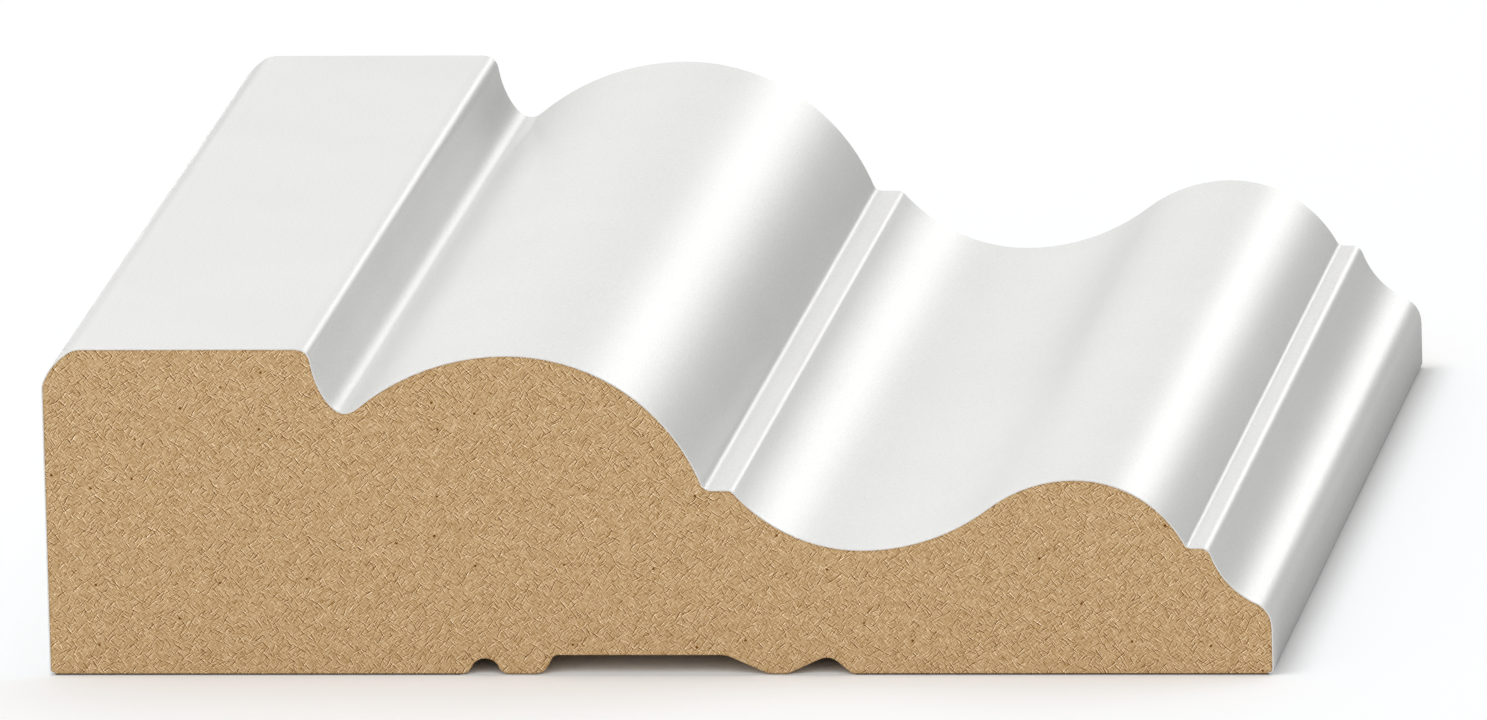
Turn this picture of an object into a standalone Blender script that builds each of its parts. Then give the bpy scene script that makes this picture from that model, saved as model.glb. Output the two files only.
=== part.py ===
"""Casing moulding: a length of primed MDF door casing, cut square at both ends and lying on its back.

X runs across the moulding from its thick outer edge to its thin inner edge, and Y runs along it.
Z goes up from its back, and the origin is in the middle of the back. Lengths are in metres.
"""

import math

import bmesh
import bpy
from mathutils import Vector

MM = 0.001

# Length of the piece
LENGTH = 116 * MM

# Widths of the members, one after the other from the outer edge to the inner edge
SHOULDER_WIDTH = 2.6 * MM
BAND_WIDTH = 18.3 * MM
QUIRK_WALL_WIDTH = 2.55 * MM
OVOLO_RISE_WIDTH = 12.7 * MM
OVOLO_FALL_WIDTH = 15.1 * MM
OVOLO_FILLET_WIDTH = 2.1 * MM
COVE_WIDTH = 10.0 * MM
BEAD_RISE_WIDTH = 16.55 * MM
BEAD_FALL_WIDTH = 8.6 * MM
BEAD_FILLET_WIDTH = 1.7 * MM
INNER_COVE_WIDTH = 4.8 * MM

# Heights, one on top of the other from the back at the inner edge
INNER_EDGE_HEIGHT = 5.1 * MM
INNER_COVE_RISE = 4.8 * MM
BEAD_RISE = 5.35 * MM
COVE_FALL = 5.5 * MM
COVE_RISE = 4.7 * MM
OVOLO_RISE = 10.6 * MM
QUIRK_FALL = 4.5 * MM
BAND_RISE = 5.05 * MM

# Curves of the face
SHOULDER_DROP = 2.9 * MM
SHOULDER_BULGE = 0.4 * MM
QUIRK_WALL_POWER = 1.74
QUIRK_ROOT_RADIUS = 1.5 * MM
BEAD_RADIUS = 11.2 * MM
INNER_COVE_HOLLOW = 0.93 * MM

# Rounded corners, as the length that each takes off both sides
BASE_ROUND = 0.4 * MM
SHOULDER_FOOT_ROUND = 0.25 * MM
SHOULDER_TOP_ROUND = 0.45 * MM
BAND_ROUND = 1.25 * MM
OVOLO_FOOT_ROUND = 0.6 * MM
OVOLO_FILLET_ROUND = 0.35 * MM
BEAD_FOOT_ROUND = 0.35 * MM
BEAD_FILLET_ROUND = 0.75 * MM
NOSE_ROUND = 1.6 * MM

# Grooves of the back, one after the other from the outer edge
OUTER_LAND_WIDTH = 32.7 * MM
HOLLOW_GROOVE_WIDTH = 2.4 * MM
HOLLOW_GROOVE_DEPTH = 1.2 * MM
SECOND_LAND_WIDTH = 3.4 * MM
RELIEF_WALL_WIDTH = 0.7 * MM
RELIEF_ROOF_WIDTH = 13.4 * MM
RELIEF_SLOPE_WIDTH = 3.3 * MM
RELIEF_DEPTH = 1.46 * MM
THIRD_LAND_WIDTH = 1.5 * MM
VEE_SLOPE_WIDTH = 3.25 * MM
VEE_WALL_WIDTH = 1.7 * MM
VEE_DEPTH = 1.48 * MM
GROOVE_ROUND = 0.7 * MM
RELIEF_FOOT_ROUND = 1.0 * MM
RELIEF_ROUND = 0.4 * MM
VEE_ROOT_ROUND = 0.9 * MM
VEE_FOOT_ROUND = 0.25 * MM

# The share of a run that the round at each of its ends may take
LARGEST_ROUND_SHARE = 0.475

# Fineness of the curves
FACET_ANGLE = math.radians(4)
ROUND_STEPS = 6

# White primer
PRIMER_COLOUR = (0.83, 0.83, 0.82, 1.0)
PRIMER_ROUGHNESS = 0.38

# Places across the moulding, from the outer edge
BAND_START = SHOULDER_WIDTH
BAND_END = BAND_START + BAND_WIDTH
QUIRK_ROOT = BAND_END + QUIRK_WALL_WIDTH
OVOLO_CROWN = QUIRK_ROOT + OVOLO_RISE_WIDTH
OVOLO_FOOT = OVOLO_CROWN + OVOLO_FALL_WIDTH
COVE_START = OVOLO_FOOT + OVOLO_FILLET_WIDTH
COVE_BOTTOM = COVE_START + COVE_WIDTH
BEAD_CROWN = COVE_BOTTOM + BEAD_RISE_WIDTH
BEAD_FOOT = BEAD_CROWN + BEAD_FALL_WIDTH
INNER_COVE_START = BEAD_FOOT + BEAD_FILLET_WIDTH
WIDTH = INNER_COVE_START + INNER_COVE_WIDTH

# Levels above the back
BEAD_FILLET_LEVEL = INNER_EDGE_HEIGHT + INNER_COVE_RISE
BEAD_LEVEL = BEAD_FILLET_LEVEL + BEAD_RISE
COVE_LEVEL = BEAD_LEVEL - COVE_FALL
OVOLO_FILLET_LEVEL = COVE_LEVEL + COVE_RISE
OVOLO_LEVEL = OVOLO_FILLET_LEVEL + OVOLO_RISE
QUIRK_LEVEL = OVOLO_LEVEL - QUIRK_FALL
THICKNESS = QUIRK_LEVEL + BAND_RISE


def point(across, level):
    """A point of the profile, by its distance from the outer edge and its height above the back."""
    return Vector((across, level))


def steps_for(angle):
    """The number of facets that a curve turning through this angle takes."""
    return max(2, math.ceil(abs(angle) / FACET_ANGLE))


def line(start, end):
    return [start, end]


def bow(start, end, bulge):
    """An arc from start to end that stands off its chord by the bulge, to the left of the way it goes."""
    chord = end - start
    half_angle = 2 * math.atan2(2 * bulge, chord.length)
    radius = chord.length / 2 / math.sin(half_angle)
    along = chord.normalized()
    left = Vector((-along.y, along.x))
    centre = (start + end) / 2 - left * (radius * math.cos(half_angle))
    count = steps_for(2 * half_angle)
    points = []
    for step in range(count + 1):
        angle = half_angle * (2 * step / count - 1)
        points.append(centre + radius * (along * math.sin(angle) + left * math.cos(angle)))
    return points


def quarter(level_end, other_end):
    """An arc that is level where it starts and passes through other_end."""
    offset = other_end - level_end
    radius = offset.length_squared / (2 * abs(offset.y))
    full_angle = 2 * math.atan2(abs(offset.y), abs(offset.x))
    count = steps_for(full_angle)
    points = []
    for step in range(count + 1):
        angle = full_angle * step / count
        across = math.copysign(radius * math.sin(angle), offset.x)
        level = math.copysign(radius * (1 - math.cos(angle)), offset.y)
        points.append(level_end + Vector((across, level)))
    return points


def ogee(bottom, crown, share_of_crown):
    """Two arcs in an S from a level bottom to a level crown. They meet at this share of the way down."""
    meeting = crown.lerp(bottom, share_of_crown)
    rising = quarter(bottom, meeting)
    falling = quarter(crown, meeting)
    return rising + falling[-2::-1]


def ogee_radii(bottom, crown):
    """The radii of an ogee's two arcs, added together."""
    return (crown - bottom).length_squared / (2 * (crown.y - bottom.y))


def quirk_wall(top, root):
    """The hollow wall from the band down to the quirk's root, where it is level."""
    count = steps_for(math.pi / 2)
    points = []
    for step in range(count + 1):
        angle = math.pi / 2 * step / count
        across = max(0.0, math.cos(angle)) ** (2 / QUIRK_WALL_POWER)
        down = math.sin(angle) ** (2 / QUIRK_WALL_POWER)
        points.append(point(root.x - (root.x - top.x) * across, top.y - (top.y - root.y) * down))
    return points


def ovolo_member():
    """From the end of the band down into the quirk, over the ovolo and down to its fillet."""
    root = point(QUIRK_ROOT, QUIRK_LEVEL)
    crown = point(OVOLO_CROWN, OVOLO_LEVEL)
    share_of_crown = 1 - QUIRK_ROOT_RADIUS / ogee_radii(root, crown)
    wall = quirk_wall(point(BAND_END, THICKNESS), root)
    rise = ogee(root, crown, share_of_crown)
    fall = quarter(crown, point(OVOLO_FOOT, OVOLO_FILLET_LEVEL))
    return wall + rise[1:] + fall[1:]


def bead_member():
    """From the ovolo's fillet down into the cove, over the bead and down to its fillet."""
    bottom = point(COVE_BOTTOM, COVE_LEVEL)
    crown = point(BEAD_CROWN, BEAD_LEVEL)
    hollow = quarter(bottom, point(COVE_START, OVOLO_FILLET_LEVEL))
    rise = ogee(bottom, crown, BEAD_RADIUS / ogee_radii(bottom, crown))
    fall = quarter(crown, point(BEAD_FOOT, BEAD_FILLET_LEVEL))
    return hollow[::-1] + rise[1:] + fall[1:]


def face_runs():
    """The runs of the face from the outer edge to the inner edge, each with the round at its end."""
    shoulder_foot = point(0, THICKNESS - SHOULDER_DROP)
    band_start = point(BAND_START, THICKNESS)
    band_end = point(BAND_END, THICKNESS)
    ovolo_foot = point(OVOLO_FOOT, OVOLO_FILLET_LEVEL)
    cove_start = point(COVE_START, OVOLO_FILLET_LEVEL)
    bead_foot = point(BEAD_FOOT, BEAD_FILLET_LEVEL)
    inner_cove_start = point(INNER_COVE_START, BEAD_FILLET_LEVEL)
    nose = point(WIDTH, INNER_EDGE_HEIGHT)
    return [
        (line(point(0, 0), shoulder_foot), SHOULDER_FOOT_ROUND),
        (bow(shoulder_foot, band_start, SHOULDER_BULGE), SHOULDER_TOP_ROUND),
        (line(band_start, band_end), BAND_ROUND),
        (ovolo_member(), OVOLO_FOOT_ROUND),
        (line(ovolo_foot, cove_start), OVOLO_FILLET_ROUND),
        (bead_member(), BEAD_FOOT_ROUND),
        (line(bead_foot, inner_cove_start), BEAD_FILLET_ROUND),
        (bow(inner_cove_start, nose, -INNER_COVE_HOLLOW), NOSE_ROUND),
        (line(nose, point(WIDTH, 0)), BASE_ROUND),
    ]


def back_runs():
    """The runs of the back from the inner edge to the outer edge, each with the round at its end."""
    groove_start = point(OUTER_LAND_WIDTH, 0)
    groove_end = groove_start + point(HOLLOW_GROOVE_WIDTH, 0)
    relief_start = groove_end + point(SECOND_LAND_WIDTH, 0)
    roof_start = relief_start + point(RELIEF_WALL_WIDTH, RELIEF_DEPTH)
    roof_end = roof_start + point(RELIEF_ROOF_WIDTH, 0)
    relief_end = roof_end + point(RELIEF_SLOPE_WIDTH, -RELIEF_DEPTH)
    vee_start = relief_end + point(THIRD_LAND_WIDTH, 0)
    vee_root = vee_start + point(VEE_SLOPE_WIDTH, VEE_DEPTH)
    vee_end = vee_root + point(VEE_WALL_WIDTH, -VEE_DEPTH)
    return [
        (line(point(WIDTH, 0), vee_end), VEE_FOOT_ROUND),
        (line(vee_end, vee_root), VEE_ROOT_ROUND),
        (line(vee_root, vee_start), VEE_FOOT_ROUND),
        (line(vee_start, relief_end), VEE_FOOT_ROUND),
        (line(relief_end, roof_end), RELIEF_ROUND),
        (line(roof_end, roof_start), RELIEF_ROUND),
        (line(roof_start, relief_start), RELIEF_FOOT_ROUND),
        (line(relief_start, groove_end), GROOVE_ROUND),
        (bow(groove_end, groove_start, -HOLLOW_GROOVE_DEPTH), GROOVE_ROUND),
        (line(groove_start, point(0, 0)), BASE_ROUND),
    ]


def run_length(run):
    return sum((after - before).length for before, after in zip(run, run[1:]))


def cut_tail(run, length):
    """The run without the last stretch of this length."""
    points = list(run)
    while len(points) > 1:
        last = points.pop()
        step = (last - points[-1]).length
        if step > length:
            points.append(last.lerp(points[-1], length / step))
            break
        length -= step
    return points


def corner_curve(start, corner, end):
    """A smooth curve between the two sides of a corner, without its ends."""
    points = []
    for step in range(1, ROUND_STEPS):
        share = step / ROUND_STEPS
        points.append(start.lerp(corner, share).lerp(corner.lerp(end, share), share))
    return points


def rounded_outline(runs):
    """One closed outline of runs that follow each other, with the round after each run put in."""
    count = len(runs)
    reaches = []
    for index, (run, reach) in enumerate(runs):
        following = runs[(index + 1) % count][0]
        room = LARGEST_ROUND_SHARE * min(run_length(run), run_length(following))
        reaches.append(min(reach, room))
    trimmed = []
    for index, (run, _) in enumerate(runs):
        shortened = cut_tail(run, reaches[index])
        trimmed.append(cut_tail(shortened[::-1], reaches[index - 1])[::-1])
    outline = []
    for index, (run, _) in enumerate(runs):
        following = trimmed[(index + 1) % count]
        outline += trimmed[index] + corner_curve(trimmed[index][-1], run[-1], following[0])
    return outline


def extruded_mesh(name, outline):
    """A closed mesh of the outline, drawn in the XZ plane and extruded along Y."""
    model = bmesh.new()
    corners = [model.verts.new((spot.x - WIDTH / 2, -LENGTH / 2, spot.y)) for spot in outline]
    near_end = model.faces.new(corners)
    moved = bmesh.ops.extrude_face_region(model, geom=[near_end], use_keep_orig=True)
    far_corners = [item for item in moved["geom"] if isinstance(item, bmesh.types.BMVert)]
    bmesh.ops.translate(model, verts=far_corners, vec=(0, LENGTH, 0))
    bmesh.ops.recalc_face_normals(model, faces=model.faces)
    mesh = bpy.data.meshes.new(name)
    model.to_mesh(mesh)
    model.free()
    return mesh


def primer_material():
    material = bpy.data.materials.new("primer")
    material.use_nodes = True
    shader = material.node_tree.nodes["Principled BSDF"]
    shader.inputs["Base Color"].default_value = PRIMER_COLOUR
    shader.inputs["Roughness"].default_value = PRIMER_ROUGHNESS
    shader.inputs["Metallic"].default_value = 0.0
    return material


def make_casing():
    mesh = extruded_mesh("casing", rounded_outline(face_runs() + back_runs()))
    mesh.materials.append(primer_material())
    casing = bpy.data.objects.new("casing", mesh)
    bpy.context.scene.collection.objects.link(casing)
    return casing


for left_over in list(bpy.data.objects):
    bpy.data.objects.remove(left_over, do_unlink=True)

make_casing()
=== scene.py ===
"""Looks of the casing moulding: bare MDF under a coat of satin white primer, on a white studio floor."""

import math

import bmesh
import bpy
from mathutils import Matrix, Vector


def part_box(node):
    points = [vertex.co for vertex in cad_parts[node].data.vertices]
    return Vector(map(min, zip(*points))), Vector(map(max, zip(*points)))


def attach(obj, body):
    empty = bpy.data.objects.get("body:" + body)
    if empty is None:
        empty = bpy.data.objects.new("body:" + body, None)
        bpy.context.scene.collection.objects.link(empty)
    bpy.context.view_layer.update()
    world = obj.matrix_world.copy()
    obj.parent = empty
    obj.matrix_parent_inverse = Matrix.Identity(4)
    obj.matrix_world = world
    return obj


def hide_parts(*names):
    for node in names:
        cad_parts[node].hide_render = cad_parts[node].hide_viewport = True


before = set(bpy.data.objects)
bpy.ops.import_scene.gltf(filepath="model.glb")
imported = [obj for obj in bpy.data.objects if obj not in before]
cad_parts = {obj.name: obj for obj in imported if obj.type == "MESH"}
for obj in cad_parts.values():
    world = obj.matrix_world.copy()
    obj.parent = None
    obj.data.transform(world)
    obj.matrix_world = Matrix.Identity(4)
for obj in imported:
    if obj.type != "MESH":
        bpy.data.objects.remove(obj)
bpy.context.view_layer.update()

MM = 0.001

# Coat of primer, and the arrises of the saw cuts
COAT_THICKNESS = 0.10 * MM
CUT_ARRIS = 0.10 * MM
COAT_SETBACK = 0.01 * MM
COAT_ARRIS = 0.02 * MM
SUPPORT_DISTANCE = 0.12 * MM
STRAIGHT_SPAN = 2.0 * MM
LENGTH_SPAN = 4.0 * MM
SHARP_ANGLE = math.radians(35)

# How the outline is found on the CAD model
MERGE_DISTANCE = 0.001 * MM
END_TOLERANCE = 0.01 * MM
RIM_FOLD = math.radians(80)
GROUND_LEVEL = 0.001 * MM

# Fibreboard, with lengths in millimetres and densities to the millimetre
MDF_COLOUR = (0.729, 0.604, 0.441)
TONE_STEPS = (0.90, 1.00, 1.06)
MDF_GAMMA = 2.2
MDF_ROUGHNESS = 0.85
MDF_SPECULAR = 0.2
END_FACING = 0.5
# Density, length, width and offset of each layer
FIBRE_LAYERS = (
    (1.05, 0.95, 0.055, (3.1, 7.7, 0.0)),
    (1.25, 0.85, 0.055, (11.9, 2.3, 0.0)),
    (1.50, 0.75, 0.050, (23.5, 14.9, 0.0)),
    (1.80, 0.65, 0.050, (37.3, 29.1, 0.0)),
    (2.10, 0.55, 0.050, (51.7, 43.6, 0.0)),
    (2.50, 0.45, 0.045, (67.9, 58.2, 0.0)),
)
FIBRE_LEAN = math.radians(20)
FIBRE_BEND = 0.20
FIBRE_TAPER = 0.6
# Painted shading beside each fibre: where its edge of the other tone lies, and how strong it is
FIBRE_SHADING_OFFSET = 1.3
FIBRE_SHADING_TONE = -0.6
FIBRE_RELIEF = 0.02 * MM
FIBRE_TONES = (-1.25, 0.65)
FIBRE_CONTRAST = 0.25
FELT_ANGLES = (math.radians(42), math.radians(-47))
FELT_GRID = (2.6, 12.0, 1.0)
FELT_CONTRAST = 0.22
GRAIN_DENSITY = 13.0
GRAIN_CONTRAST = 0.20
PATCH_DENSITY = 1.0
PATCH_CONTRAST = 0.09
# Rim of the cut: darker from frayed fibres, and partly from painted shade
RIM_WIDTH = 0.24 * MM
RIM_SAMPLES = 6
RIM_TURN = 0.90
RIM_FRAY_AND_SHADE_TONES = (0.22, -0.36)
SPECK_DENSITY = 0.30
SPECK_SHARE = 0.25
SPECK_RADIUS = 0.16
SPECK_DARKNESS = 0.45

# Primer, with densities to the millimetre
PRIMER_COLOUR = (0.713, 0.711, 0.695, 1.0)
PRIMER_SHADE = (0.643, 0.641, 0.625, 1.0)
PRIMER_ROUGHNESS = (0.31, 0.39)
PRIMER_BREAKUP = 0.6
EDGE_DRYNESS = 0.10
EDGE_FACING = (0.99, 0.90)
MEAN_SHADE = 0.5
CLOUD_DENSITY = 0.06
CLOUD_CONTRAST = 0.9
DUST_DENSITY = 5.0
DUST_CONTRAST = 3.0
PEEL_DENSITY = 1.6
PEEL_RELIEF = 0.0012 * MM
TRACE_DENSITY = 1.5
TRACE_STRETCH = 0.01
TRACE_RELIEF = 0.0015 * MM

# Camera, fitted to the outline of the cut end in the photograph
CAMERA_AZIMUTH = math.radians(7.08)
CAMERA_ELEVATION = math.radians(11.64)
CAMERA_ROLL = math.radians(-1.513)
CAMERA_DISTANCE = 2.6788
CAMERA_LENS = 825.0
CAMERA_SENSOR = 36.0
CAMERA_CLIP = (0.1, 20.0)
CAMERA_TARGET = Vector((-0.12, 0.0, 12.63)) * MM

# Studio
LIGHT_TARGET = Vector((0.0, 0.0, 0.012))
WHITE = (1.0, 1.0, 1.0, 1.0)
FLOOR_HALF_SIZE = 5.0
FLOOR_GAP = 0.12 * MM
UNDER_GAP = 0.09 * MM
# Painted shade: dark sheets under the lands, for the contact line at the foot
CONTACT_SHADE_SETBACK = 0.04 * MM
CONTACT_SHADE_COLOUR = (0.12, 0.12, 0.12, 1.0)
# Painted shade on the floor beside the inner edge, seen only by bouncing light
SHADE_WIDTH = 8.0 * MM
SHADE_COLOUR = (0.10, 0.10, 0.10, 1.0)
FLOOR_COLOUR = (0.958, 0.960, 0.952, 1.0)
SKY_STRENGTH = 0.65
BACKDROP_STRENGTH = 1.05
GLOSS_SKY_STRENGTH = 0.15
# Painted reflection of the floor, and a painted glow in it behind the board on the left
PAINTED_REFLECTION_REACH = (0.17, 0.26)
PAINTED_REFLECTION_TONES = (0.10, 0.55)
GLOW_PATCH_SIDE = (-0.062, -0.057)
GLOW_PATCH_NEAR = (0.22, 0.17)
GLOW_PATCH_FAR = (0.23, 0.29)
PAINTED_GLOW_STRENGTH = 5.0


def cad_outline(node):
    """The (X, Z) points round the node's cut end, from the outer land out, over the face and back."""
    low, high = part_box(node)
    mesh = bmesh.new()
    mesh.from_mesh(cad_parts[node].data)
    bmesh.ops.remove_doubles(mesh, verts=mesh.verts, dist=MERGE_DISTANCE)
    neighbours = {}
    for edge in mesh.edges:
        if any(vert.co.y > low.y + END_TOLERANCE for vert in edge.verts):
            continue
        if edge.calc_face_angle(0.0) < RIM_FOLD:
            continue
        first, second = edge.verts
        neighbours.setdefault(first, []).append(second)
        neighbours.setdefault(second, []).append(first)
    middle = (low.x + high.x) / 2
    outer_land = [vert for vert in neighbours if vert.co.z < GROUND_LEVEL and vert.co.x < middle]
    start = min(outer_land, key=lambda vert: vert.co.x)
    outward = min(neighbours[start], key=lambda vert: vert.co.x)
    ring = [start, outward]
    while True:
        following = [vert for vert in neighbours[ring[-1]] if vert is not ring[-2]][0]
        if following is start:
            break
        ring.append(following)
    outline = [Vector((vert.co.x, vert.co.z)) for vert in ring]
    mesh.free()
    return outline


def supported(points):
    """The open run of points, with a point added near each end of its straight spans."""
    result = [points[0]]
    for start, end in zip(points, points[1:]):
        length = (end - start).length
        if length > STRAIGHT_SPAN:
            share = SUPPORT_DISTANCE / length
            result += [start.lerp(end, share), end.lerp(start, share)]
        result.append(end)
    return result


def inset_run(points, distance):
    """The open run moved to its right by this distance. Going up the outer edge, that is into the board."""
    moved = []
    for index, here in enumerate(points):
        before = points[max(index - 1, 0)]
        after = points[min(index + 1, len(points) - 1)]
        along = (after - before).normalized()
        moved.append(here + Vector((along.y, -along.x)) * distance)
    return moved


def extrusion(name, outline, low_y, high_y, arris):
    """A closed prism of the outline along Y, with a small bevel round both cut ends."""
    model = bmesh.new()
    count = max(1, math.ceil((high_y - low_y) / LENGTH_SPAN))
    rings = []
    for step in range(count + 1):
        y = low_y + (high_y - low_y) * step / count
        rings.append([model.verts.new((spot.x, y, spot.y)) for spot in outline])
    for near, far in zip(rings, rings[1:]):
        for index in range(len(outline)):
            following = (index + 1) % len(outline)
            model.faces.new((near[index], near[following], far[following], far[index]))
    ends = [model.faces.new(rings[0][::-1]), model.faces.new(rings[-1])]
    bmesh.ops.recalc_face_normals(model, faces=model.faces)
    rims = [edge for end in ends for edge in end.edges]
    bmesh.ops.bevel(
        model, geom=rims, offset=arris, offset_type="OFFSET", segments=1, affect="EDGES", clamp_overlap=True
    )
    mesh = bpy.data.meshes.new(name)
    model.to_mesh(mesh)
    model.free()
    mesh.shade_smooth()
    mesh.set_sharp_from_angle(angle=SHARP_ANGLE)
    piece = bpy.data.objects.new(name, mesh)
    bpy.context.scene.collection.objects.link(piece)
    return piece


def new_material(name):
    """A new material, with its node tree and its Principled shader."""
    material = bpy.data.materials.new(name)
    material.use_nodes = True
    tree = material.node_tree
    return material, tree, tree.nodes["Principled BSDF"]


def feed(tree, socket, value):
    """Links the value to the socket where it is another socket, and sets it there where it is a number."""
    if isinstance(value, bpy.types.NodeSocket):
        tree.links.new(value, socket)
    else:
        socket.default_value = value


def maths(tree, operation, *values):
    node = tree.nodes.new("ShaderNodeMath")
    node.operation = operation
    for socket, value in zip(node.inputs, values):
        feed(tree, socket, value)
    return node.outputs[0]


def combined(tree, operation, *values):
    """The values taken together by this operation, from the first to the last."""
    result = values[0]
    for value in values[1:]:
        result = maths(tree, operation, result, value)
    return result


def total(tree, *values):
    return combined(tree, "ADD", *values)


def product(tree, *values):
    return combined(tree, "MULTIPLY", *values)


def split(tree, vector):
    """The X, Y and Z of the vector."""
    node = tree.nodes.new("ShaderNodeSeparateXYZ")
    feed(tree, node.inputs[0], vector)
    return node.outputs


def geometry(tree, name):
    """This value of the point on the surface, such as its position or its normal."""
    return tree.nodes.new("ShaderNodeNewGeometry").outputs[name]


def fade(tree, value, full, gone):
    """1 where the value is at full, 0 where it is at gone, with a smooth step between them."""
    node = tree.nodes.new("ShaderNodeMapRange")
    node.interpolation_type = "SMOOTHSTEP"
    feed(tree, node.inputs["Value"], value)
    feed(tree, node.inputs["From Min"], full)
    feed(tree, node.inputs["From Max"], gone)
    node.inputs["To Min"].default_value = 1.0
    node.inputs["To Max"].default_value = 0.0
    return node.outputs[0]


def spread(tree, value, low, high):
    """The value's 0 to 1 spread over low to high."""
    node = tree.nodes.new("ShaderNodeMapRange")
    feed(tree, node.inputs["Value"], value)
    node.inputs["To Min"].default_value = low
    node.inputs["To Max"].default_value = high
    return node.outputs[0]


def centred(tree, value, contrast):
    """The value's 0 to 1 spread over this contrast, with its middle at 0."""
    return spread(tree, value, -contrast / 2, contrast / 2)


def scaled(tree, vector, scale, offset=(0.0, 0.0, 0.0)):
    """The vector times this scale, plus this offset."""
    node = tree.nodes.new("ShaderNodeVectorMath")
    node.operation = "MULTIPLY_ADD"
    feed(tree, node.inputs[0], vector)
    node.inputs[1].default_value = scale
    node.inputs[2].default_value = offset
    return node.outputs[0]


def turned(tree, vector, angle):
    """The vector turned about Z by this angle."""
    node = tree.nodes.new("ShaderNodeVectorRotate")
    node.rotation_type = "Z_AXIS"
    feed(tree, node.inputs["Vector"], vector)
    feed(tree, node.inputs["Angle"], angle)
    return node.outputs[0]


def noise(tree, vector, scale, detail=0.0, roughness=0.5, dimensions="3D"):
    node = tree.nodes.new("ShaderNodeTexNoise")
    node.noise_dimensions = dimensions
    feed(tree, node.inputs["Vector"], vector)
    node.inputs["Scale"].default_value = scale
    node.inputs["Detail"].default_value = detail
    node.inputs["Roughness"].default_value = roughness
    return node.outputs["Fac"]


def millimetres(tree):
    """The point's place on its piece, in millimetres."""
    place = tree.nodes.new("ShaderNodeTexCoord").outputs["Object"]
    return scaled(tree, place, (1 / MM, 1 / MM, 1 / MM))


def bump(tree, height, distance, below=None):
    """The normal with this height on it, over the normal below where there is one."""
    node = tree.nodes.new("ShaderNodeBump")
    node.inputs["Distance"].default_value = distance
    feed(tree, node.inputs["Height"], height)
    if below is not None:
        feed(tree, node.inputs["Normal"], below)
    return node.outputs["Normal"]


def fibre_group():
    """Node group: one fibre in each cell of a plane in millimetres, lighter or darker than the board."""
    group = bpy.data.node_groups.new("fibres", "ShaderNodeTree")
    group.interface.new_socket("Vector", in_out="INPUT", socket_type="NodeSocketVector")
    for name in ("Density", "Length", "Width"):
        group.interface.new_socket(name, in_out="INPUT", socket_type="NodeSocketFloat")
    group.interface.new_socket("Tone", in_out="OUTPUT", socket_type="NodeSocketFloat")
    given = group.nodes.new("NodeGroupInput").outputs
    result = group.nodes.new("NodeGroupOutput").inputs

    cells = group.nodes.new("ShaderNodeTexVoronoi")
    cells.voronoi_dimensions = "2D"
    feed(group, cells.inputs["Vector"], given["Vector"])
    feed(group, cells.inputs["Scale"], given["Density"])
    local = group.nodes.new("ShaderNodeVectorMath")
    local.operation = "SUBTRACT"
    feed(group, local.inputs[0], given["Vector"])
    feed(group, local.inputs[1], cells.outputs["Position"])
    draws = group.nodes.new("ShaderNodeSeparateColor")
    feed(group, draws.inputs[0], cells.outputs["Color"])
    first, second, third = draws.outputs

    # Most fibres lie near one diagonal or the other.
    doubled = maths(group, "MULTIPLY", first, 2.0)
    diagonal = maths(group, "FLOOR", doubled)
    lean = spread(group, second, math.radians(45) - FIBRE_LEAN, math.radians(45) + FIBRE_LEAN)
    angle = maths(group, "MULTIPLY_ADD", diagonal, math.radians(90), lean)
    along, across, _ = split(group, turned(group, local.outputs[0], angle))
    bend = spread(group, third, -FIBRE_BEND, FIBRE_BEND)
    across = maths(group, "MULTIPLY_ADD", product(group, along, along), bend, across)

    # Each fibre has an edge of the other tone beside it: painted shadow beside a pale fibre and painted
    # highlight beside a dark one, as light and shade fall on a raised thread.
    half = maths(group, "MULTIPLY", given["Length"], 0.5)
    in_length = fade(group, maths(group, "ABSOLUTE", along), product(group, half, FIBRE_TAPER), half)
    body = fade(group, maths(group, "ABSOLUTE", across), 0.0, given["Width"])
    beside = maths(group, "SUBTRACT", across, product(group, given["Width"], FIBRE_SHADING_OFFSET))
    edge = fade(group, maths(group, "ABSOLUTE", beside), 0.0, given["Width"])
    thread = maths(group, "MULTIPLY_ADD", edge, FIBRE_SHADING_TONE, body)
    tone = spread(group, maths(group, "FRACT", doubled), *FIBRE_TONES)
    feed(group, result["Tone"], product(group, thread, in_length, tone))
    return group


def fibres(tree, group, vector, density, length, width, offset):
    """One layer of fibres: this many to the millimetre, with this length and width in millimetres."""
    node = tree.nodes.new("ShaderNodeGroup")
    node.node_tree = group
    feed(tree, node.inputs["Vector"], scaled(tree, vector, (1.0, 1.0, 1.0), offset))
    node.inputs["Density"].default_value = density
    node.inputs["Length"].default_value = length
    node.inputs["Width"].default_value = width
    return node.outputs["Tone"]


def board_plane(tree, place):
    """The place as a flat vector: across and up on the cut ends, across and along on the back."""
    facing = maths(tree, "ABSOLUTE", split(tree, geometry(tree, "Normal"))["Y"])
    axes = split(tree, place)
    choice = tree.nodes.new("ShaderNodeMix")
    feed(tree, choice.inputs["Factor"], maths(tree, "GREATER_THAN", facing, END_FACING))
    feed(tree, choice.inputs["A"], axes["Y"])
    feed(tree, choice.inputs["B"], axes["Z"])
    plane = tree.nodes.new("ShaderNodeCombineXYZ")
    feed(tree, plane.inputs["X"], axes["X"])
    feed(tree, plane.inputs["Y"], choice.outputs["Result"])
    return plane.outputs[0]


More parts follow.
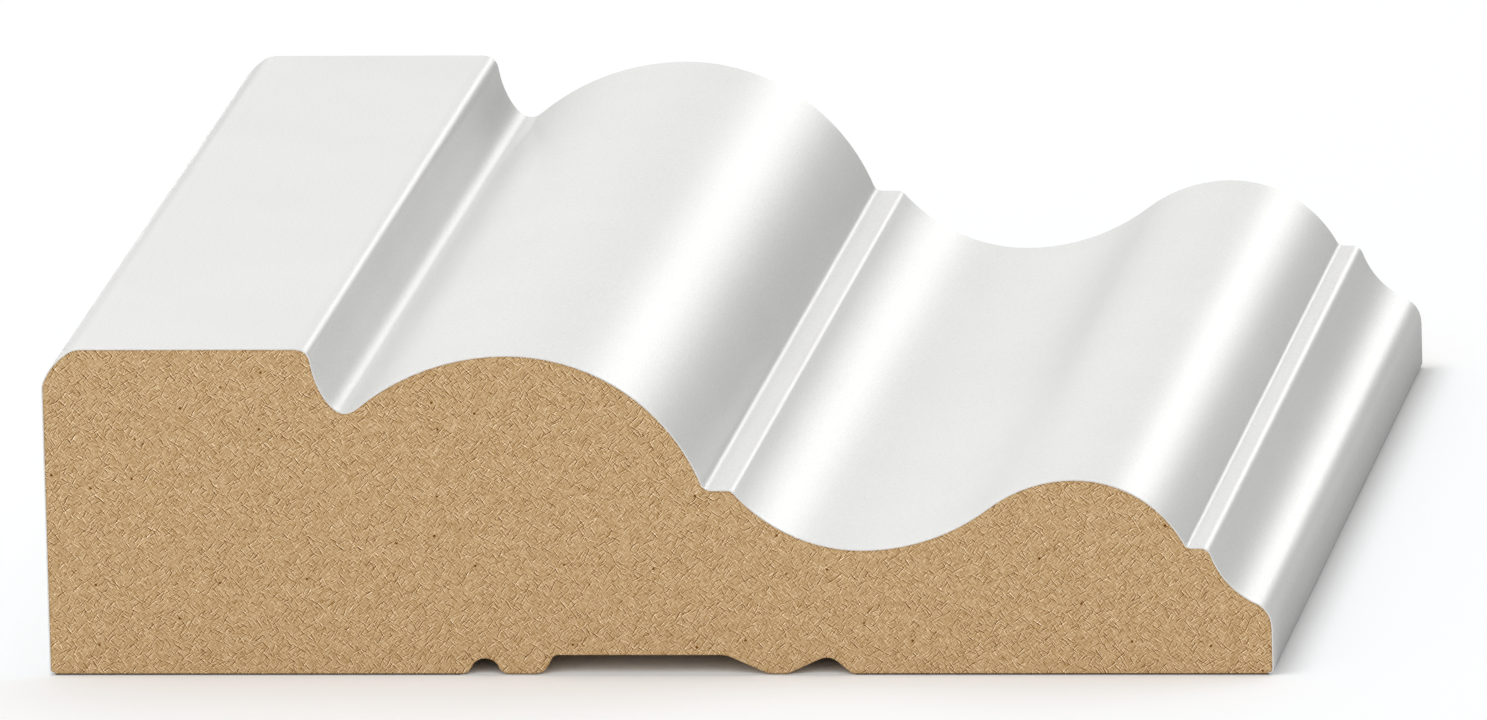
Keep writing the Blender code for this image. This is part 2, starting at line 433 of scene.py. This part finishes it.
def mdf_material():
    """Bare fibreboard: pale and dark threads a millimetre long in a fine felt, with a few dark specks."""
    material, tree, shader = new_material("mdf_fibre")
    plane = board_plane(tree, millimetres(tree))
    group = fibre_group()
    layers = [
        fibres(tree, group, plane, density, length, width, offset)
        for density, length, width, offset in FIBRE_LAYERS
    ]
    grain = noise(tree, plane, GRAIN_DENSITY, dimensions="2D")
    patches = noise(tree, plane, PATCH_DENSITY, 1.0, dimensions="2D")
    felt = [
        noise(tree, scaled(tree, turned(tree, plane, angle), FELT_GRID), 1.0, 1.0, dimensions="2D")
        for angle in FELT_ANGLES
    ]
    specks = tree.nodes.new("ShaderNodeTexVoronoi")
    specks.voronoi_dimensions = "2D"
    feed(tree, specks.inputs["Vector"], plane)
    specks.inputs["Scale"].default_value = SPECK_DENSITY
    draws = tree.nodes.new("ShaderNodeSeparateColor")
    feed(tree, draws.inputs[0], specks.outputs["Color"])
    chosen = maths(tree, "GREATER_THAN", draws.outputs["Red"], 1 - SPECK_SHARE)
    near = fade(tree, specks.outputs["Distance"], 0.0, SPECK_RADIUS * SPECK_DENSITY)
    tone = total(
        tree,
        product(tree, total(tree, *layers), FIBRE_CONTRAST),
        centred(tree, grain, GRAIN_CONTRAST),
        centred(tree, patches, PATCH_CONTRAST),
        *(centred(tree, layer, FELT_CONTRAST) for layer in felt),
        product(tree, chosen, near, -SPECK_DARKNESS),
    )

    # Frayed fibres darken the rim of the cut, and the darkening is partly painted shade along its edge.
    rounded = tree.nodes.new("ShaderNodeBevel")
    rounded.samples = RIM_SAMPLES
    rounded.inputs["Radius"].default_value = RIM_WIDTH
    facing = tree.nodes.new("ShaderNodeVectorMath")
    facing.operation = "DOT_PRODUCT"
    feed(tree, facing.inputs[0], rounded.outputs["Normal"])
    feed(tree, facing.inputs[1], geometry(tree, "Normal"))
    at_frayed_shaded_rim = fade(tree, facing.outputs["Value"], RIM_TURN, 1.0)
    tone = total(tree, tone, product(tree, at_frayed_shaded_rim, spread(tree, grain, *RIM_FRAY_AND_SHADE_TONES)))

    # The tone moves the colour in even steps to the eye. The gamma brings it to the shader's linear scale.
    linear = tree.nodes.new("ShaderNodeGamma")
    feed(tree, linear.inputs["Color"], scaled(tree, tone, TONE_STEPS, MDF_COLOUR))
    linear.inputs["Gamma"].default_value = MDF_GAMMA
    feed(tree, shader.inputs["Base Color"], linear.outputs[0])
    feed(tree, shader.inputs["Roughness"], maths(tree, "SUBTRACT", MDF_ROUGHNESS, tone))
    shader.inputs["Specular IOR Level"].default_value = MDF_SPECULAR
    feed(tree, shader.inputs["Normal"], bump(tree, tone, FIBRE_RELIEF))
    return material


def primer_material():
    """Sprayed satin primer: a faint orange peel, with traces of the cutter along the run."""
    material, tree, shader = new_material("primer_paint")
    place = millimetres(tree)
    clouds = noise(tree, place, CLOUD_DENSITY, 2.0)
    dust = noise(tree, place, DUST_DENSITY, 1.0)
    colours = tree.nodes.new("ShaderNodeValToRGB")
    ramp = colours.color_ramp
    ramp.elements[0].color = PRIMER_SHADE
    ramp.elements[1].color = PRIMER_COLOUR
    mottle = centred(tree, clouds, CLOUD_CONTRAST)
    shade = total(tree, MEAN_SHADE, mottle, centred(tree, dust, DUST_CONTRAST))
    feed(tree, colours.inputs["Fac"], shade)
    feed(tree, shader.inputs["Base Color"], colours.outputs["Color"])
    peel = noise(tree, place, PEEL_DENSITY, 2.0, PRIMER_BREAKUP)
    run = scaled(tree, place, (1.0, TRACE_STRETCH, 1.0))
    traces = noise(tree, run, TRACE_DENSITY, 2.0, PRIMER_BREAKUP)
    # The upright edges took a drier coat.
    facing = maths(tree, "ABSOLUTE", split(tree, geometry(tree, "Normal"))["X"])
    upright = fade(tree, facing, *EDGE_FACING)
    satin = spread(tree, peel, *PRIMER_ROUGHNESS)
    feed(tree, shader.inputs["Roughness"], maths(tree, "MULTIPLY_ADD", upright, EDGE_DRYNESS, satin))
    traced = bump(tree, traces, TRACE_RELIEF)
    feed(tree, shader.inputs["Normal"], bump(tree, peel, PEEL_RELIEF, traced))
    return material


def make_pieces():
    """The board and its coat, which ride on the root body in the casing's place."""
    low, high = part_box("casing")
    outline = cad_outline("casing")
    # The coat runs from the land behind the outer edge, over the face, to the land behind the inner edge.
    painted_end = next(index for index, spot in enumerate(outline) if index > 0 and spot.y < GROUND_LEVEL)
    painted = supported(outline[: painted_end + 1])
    back = supported(outline[painted_end:] + outline[:1])
    under_coat = inset_run(painted, COAT_THICKNESS)
    board = extrusion("mdf_board", under_coat + back, low.y, high.y, CUT_ARRIS)
    near, far = low.y + COAT_SETBACK, high.y - COAT_SETBACK
    coat = extrusion("primer_coat", painted + under_coat[::-1], near, far, COAT_ARRIS)
    board.data.materials.append(mdf_material())
    coat.data.materials.append(primer_material())
    for piece, slot in ((board, "mdf"), (coat, "primer")):
        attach(piece, "root")
        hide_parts("casing")
    return board, coat


def matt_material(name, colour):
    material, tree, shader = new_material(name)
    shader.inputs["Base Color"].default_value = colour
    shader.inputs["Roughness"].default_value = 1.0
    shader.inputs["Specular IOR Level"].default_value = 0.0
    return material


def staged_plane(name, low, high, level, material):
    """A level plane of the set, between these two corners."""
    middle = (low + high) / 2
    bpy.ops.mesh.primitive_plane_add(size=1.0, location=(middle.x, middle.y, level))
    plane = bpy.context.active_object
    plane.name = name
    plane.scale = (high.x - low.x, high.y - low.y, 1.0)
    plane.data.materials.append(material)
    return plane


def mixed(tree, factor, first, second):
    """The first colour where the factor is 0, and the second where it is 1."""
    node = tree.nodes.new("ShaderNodeMixRGB")
    feed(tree, node.inputs["Fac"], factor)
    feed(tree, node.inputs["Color1"], first)
    feed(tree, node.inputs["Color2"], second)
    return node.outputs[0]


def floor_material(corner):
    """White. Beside the board's inner edge, from this corner on, it is painted dark to bouncing light
    alone: painted shade that darkens the inner edge towards its foot.

    In reflections it is painted: grey near the object and dark far from it, with a painted glow behind the
    board on the left, which puts a painted highlight on the outer round.
    """
    material = matt_material("floor_white", FLOOR_COLOUR)
    tree = material.node_tree
    shader = tree.nodes["Principled BSDF"]
    path = tree.nodes.new("ShaderNodeLightPath").outputs
    place = geometry(tree, "Position")
    x, y, _ = split(tree, place)
    # Painted shade: beside the inner edge the floor is dark to bouncing light.
    away = maths(tree, "ABSOLUTE", maths(tree, "SUBTRACT", x, corner.x))
    beside = fade(tree, away, SHADE_WIDTH / 2, SHADE_WIDTH)
    behind = fade(tree, y, corner.y + SHADE_WIDTH / 2, corner.y)
    shaded = product(tree, beside, behind, path["Is Diffuse Ray"])
    # Painted reflection: to glossy rays the floor is grey near the object and dark far from it.
    span = tree.nodes.new("ShaderNodeVectorMath")
    span.operation = "LENGTH"
    feed(tree, span.inputs[0], place)
    painted_reflection = spread(tree, fade(tree, span.outputs["Value"], *PAINTED_REFLECTION_REACH), *PAINTED_REFLECTION_TONES)
    seen = mixed(tree, shaded, FLOOR_COLOUR, SHADE_COLOUR)
    feed(tree, shader.inputs["Base Color"], mixed(tree, path["Is Glossy Ray"], seen, painted_reflection))
    # Painted glow, seen only in reflections: a patch behind the board on the left gives the outer round a
    # painted highlight.
    painted_glow = product(tree, fade(tree, x, *GLOW_PATCH_SIDE), fade(tree, y, *GLOW_PATCH_NEAR), fade(tree, y, *GLOW_PATCH_FAR))
    shader.inputs["Emission Color"].default_value = WHITE
    feed(tree, shader.inputs["Emission Strength"], product(tree, painted_glow, path["Is Glossy Ray"], PAINTED_GLOW_STRENGTH))
    material.cycles.emission_sampling = "NONE"
    return material


def lands(outline):
    """The wide spans of X over which the outline lies on the ground."""
    edges = zip(outline, outline[1:] + outline[:1])
    flat = [(start.x, end.x) for start, end in edges if max(start.y, end.y) < GROUND_LEVEL]
    return [sorted(span) for span in flat if abs(span[1] - span[0]) > STRAIGHT_SPAN]


def make_set():
    """The floor, its part under the board, and a dark sheet under each wide land: painted shade for the
    contact line at its foot.
    """
    low, high = (Vector(corner[:2]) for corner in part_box("casing"))
    reach = Vector((FLOOR_HALF_SIZE, FLOOR_HALF_SIZE))
    floor = staged_plane("floor", -reach, reach, -FLOOR_GAP, floor_material(Vector((high.x, low.y))))
    under = staged_plane("floor_under", low, high, -UNDER_GAP, floor.data.materials[0])
    # Painted shade: a dark sheet under each land draws the contact line.
    setback = Vector((CONTACT_SHADE_SETBACK, CONTACT_SHADE_SETBACK))
    grey = matt_material("contact_shade_grey", CONTACT_SHADE_COLOUR)
    for left, right in lands(cad_outline("casing")):
        corners = Vector((left, low.y)) + setback, Vector((right, high.y)) - setback
        staged_plane("contact_shade_sheet", *corners, -FLOOR_GAP / 2, grey)
    return floor, under


def make_world():
    """White to the camera, a soft grey sky to the object, and dimmer in its reflections."""
    world = bpy.data.worlds.new("studio")
    bpy.context.scene.world = world
    world.use_nodes = True
    tree = world.node_tree
    tree.nodes.clear()
    path = tree.nodes.new("ShaderNodeLightPath")
    output = tree.nodes.new("ShaderNodeOutputWorld")
    backgrounds = []
    for strength in (SKY_STRENGTH, GLOSS_SKY_STRENGTH, BACKDROP_STRENGTH):
        background = tree.nodes.new("ShaderNodeBackground")
        background.inputs["Color"].default_value = WHITE
        background.inputs["Strength"].default_value = strength
        backgrounds.append(background.outputs[0])
    sky, gloss, backdrop = backgrounds
    for ray, shown in (("Is Glossy Ray", gloss), ("Is Camera Ray", backdrop)):
        mix = tree.nodes.new("ShaderNodeMixShader")
        tree.links.new(path.outputs[ray], mix.inputs[0])
        tree.links.new(sky, mix.inputs[1])
        tree.links.new(shown, mix.inputs[2])
        sky = mix.outputs[0]
    tree.links.new(sky, output.inputs["Surface"])


def softbox(name, azimuth, elevation, distance, width, height, radiance):
    """An area light in this direction from the object, in degrees, with the azimuth from +Y towards +X."""
    azimuth = math.radians(azimuth)
    elevation = math.radians(elevation)
    data = bpy.data.lights.new(name, "AREA")
    data.shape = "RECTANGLE"
    data.size = width
    data.size_y = height
    data.energy = radiance * math.pi * width * height
    light = bpy.data.objects.new(name, data)
    bpy.context.scene.collection.objects.link(light)
    level = math.cos(elevation)
    direction = Vector((math.sin(azimuth) * level, math.cos(azimuth) * level, math.sin(elevation)))
    light.location = LIGHT_TARGET + direction * distance
    light.rotation_euler = (-direction).to_track_quat("-Z", "Y").to_euler()
    light.visible_camera = False
    return light


def light_only(lights, name, receivers):
    """Lets the lights fall on these objects alone. Everything still casts its shadow."""
    lit = bpy.data.collections.new(name)
    for receiver in receivers:
        lit.objects.link(receiver)
    for light in lights:
        light.light_linking.receiver_collection = lit


def make_lights(pieces, floor, under):
    """Three boxes light the pieces, two the floor, one its part under the board, and two everything."""
    overhead = softbox(
        "overhead_softbox", azimuth=-60, elevation=65, distance=1.3, width=1.1, height=1.1, radiance=2.0
    )
    front = softbox(
        "front_softbox", azimuth=-172, elevation=34, distance=1.0, width=0.7, height=0.5, radiance=2.85
    )
    side = softbox(
        "side_softbox", azimuth=100, elevation=14, distance=0.8, width=0.5, height=0.3, radiance=0.6
    )
    light_only((overhead, front, side), "lit_pieces", pieces)
    behind = softbox(
        "behind_softbox", azimuth=14, elevation=58, distance=3.9, width=2.4, height=2.4, radiance=0.9
    )
    above = softbox(
        "above_softbox", azimuth=-108, elevation=68, distance=3.9, width=1.8, height=1.8, radiance=5.1
    )
    above.data.color = (0.97, 1.0, 1.06)
    light_only((behind, above), "lit_floor", [floor])
    low_front = softbox(
        "low_front_softbox", azimuth=180, elevation=25, distance=0.6, width=1.0, height=0.6, radiance=1.5
    )
    low_front.data.color = (0.92, 1.0, 1.08)
    light_only((low_front,), "lit_under", [under])
    softbox(
        "far_softbox", azimuth=-16, elevation=13.5, distance=3.0, width=2.0, height=0.97, radiance=1.10
    )
    softbox(
        "strip_softbox", azimuth=6.8, elevation=10, distance=3.0, width=0.39, height=0.62, radiance=3.05
    )


def make_camera():
    data = bpy.data.cameras.new("camera")
    camera = bpy.data.objects.new("camera", data)
    bpy.context.scene.collection.objects.link(camera)
    data.sensor_width = CAMERA_SENSOR
    data.lens = CAMERA_LENS
    data.clip_start, data.clip_end = CAMERA_CLIP
    toward = Vector((
        math.sin(CAMERA_AZIMUTH) * math.cos(CAMERA_ELEVATION),
        -math.cos(CAMERA_AZIMUTH) * math.cos(CAMERA_ELEVATION),
        math.sin(CAMERA_ELEVATION),
    ))
    level_right = Vector((math.cos(CAMERA_AZIMUTH), math.sin(CAMERA_AZIMUTH), 0.0))
    level_up = toward.cross(level_right)
    right = math.cos(CAMERA_ROLL) * level_right + math.sin(CAMERA_ROLL) * level_up
    up = math.cos(CAMERA_ROLL) * level_up - math.sin(CAMERA_ROLL) * level_right
    axes = Matrix((right, up, toward)).transposed()
    camera.matrix_world = Matrix.Translation(CAMERA_TARGET + toward * CAMERA_DISTANCE) @ axes.to_4x4()
    bpy.context.scene.camera = camera


make_camera()
make_world()
make_lights(make_pieces(), *make_set())

bpy.context.scene.view_settings.view_transform = "Standard"
# The fibres are as fine as the picture's pixels, and a filtered guide would smooth them away.
bpy.context.scene.cycles.denoising_prefilter = "NONE"
